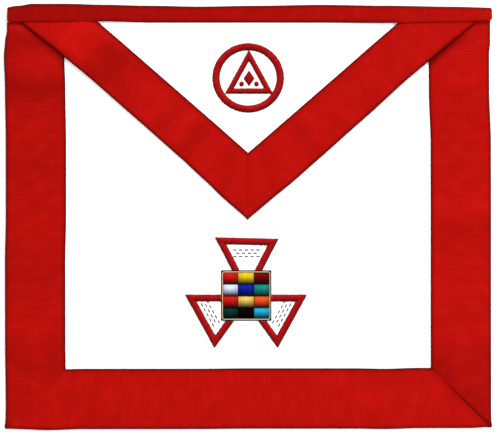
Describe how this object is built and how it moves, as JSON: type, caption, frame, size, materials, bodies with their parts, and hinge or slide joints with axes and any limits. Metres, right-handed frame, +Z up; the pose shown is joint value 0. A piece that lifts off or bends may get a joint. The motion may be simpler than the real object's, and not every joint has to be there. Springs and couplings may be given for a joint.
{
  "type": "masonic apron",
  "caption": "Ceremonial apron laid flat: white leather with wide red ribbon borders, a triangular flap with a raised ring, and an embroidered emblem of triangles round a coloured grid.",
  "frame": {"origin": "on the surface the apron lies on, under the middle of its outline", "axes": "+X to the right as the face is seen, +Y towards the waistband, +Z up out of the face"},
  "size_m": [0.4061, 0.3549, 0.0086],
  "materials": {
    "white_leather": "matt white lambskin with a fine grain",
    "red_ribbon": "fine ribbed grosgrain ribbon with a low sheen",
    "red_thread": "red satin stitch",
    "gold_thread": "twisted pale gold cord",
    "black_backing": "black woven backing",
    "red_block": "red satin stitch",
    "yellow_block": "yellow satin stitch",
    "maroon_block": "maroon satin stitch",
    "white_block": "cool white satin stitch",
    "blue_block": "dark blue satin stitch",
    "teal_block": "teal satin stitch",
    "gold_block": "gold satin stitch",
    "orange_block": "orange satin stitch",
    "green_block": "dark green satin stitch",
    "black_block": "black satin stitch",
    "cyan_block": "cyan satin stitch"
  },
  "bodies": {
    "root": {"apron_panel": "white_leather", "side_ribbon_left": "red_ribbon", "side_ribbon_right": "red_ribbon", "bottom_ribbon": "red_ribbon", "flap_panel": "white_leather", "flap_ribbon_left": "red_ribbon", "flap_ribbon_right": "red_ribbon", "waistband": "red_ribbon", "flap_ring": "red_thread", "flap_triangle": "red_thread", "flap_lozenge": "red_thread", "flap_dot_left": "red_thread", "flap_dot_right": "red_thread", "emblem_frame_top": "red_thread", "emblem_frame_left": "red_thread", "emblem_frame_right": "red_thread", "plate_backing": "black_backing", "plate_cord": "gold_thread", "block_1_1": "red_block", "block_1_2": "yellow_block", "block_1_3": "maroon_block", "block_2_1": "white_block", "block_2_2": "blue_block", "block_2_3": "teal_block", "block_3_1": "red_block", "block_3_2": "gold_block", "block_3_3": "orange_block", "block_4_1": "green_block", "block_4_2": "black_block", "block_4_3": "cyan_block"}
  },
  "joints": []
}
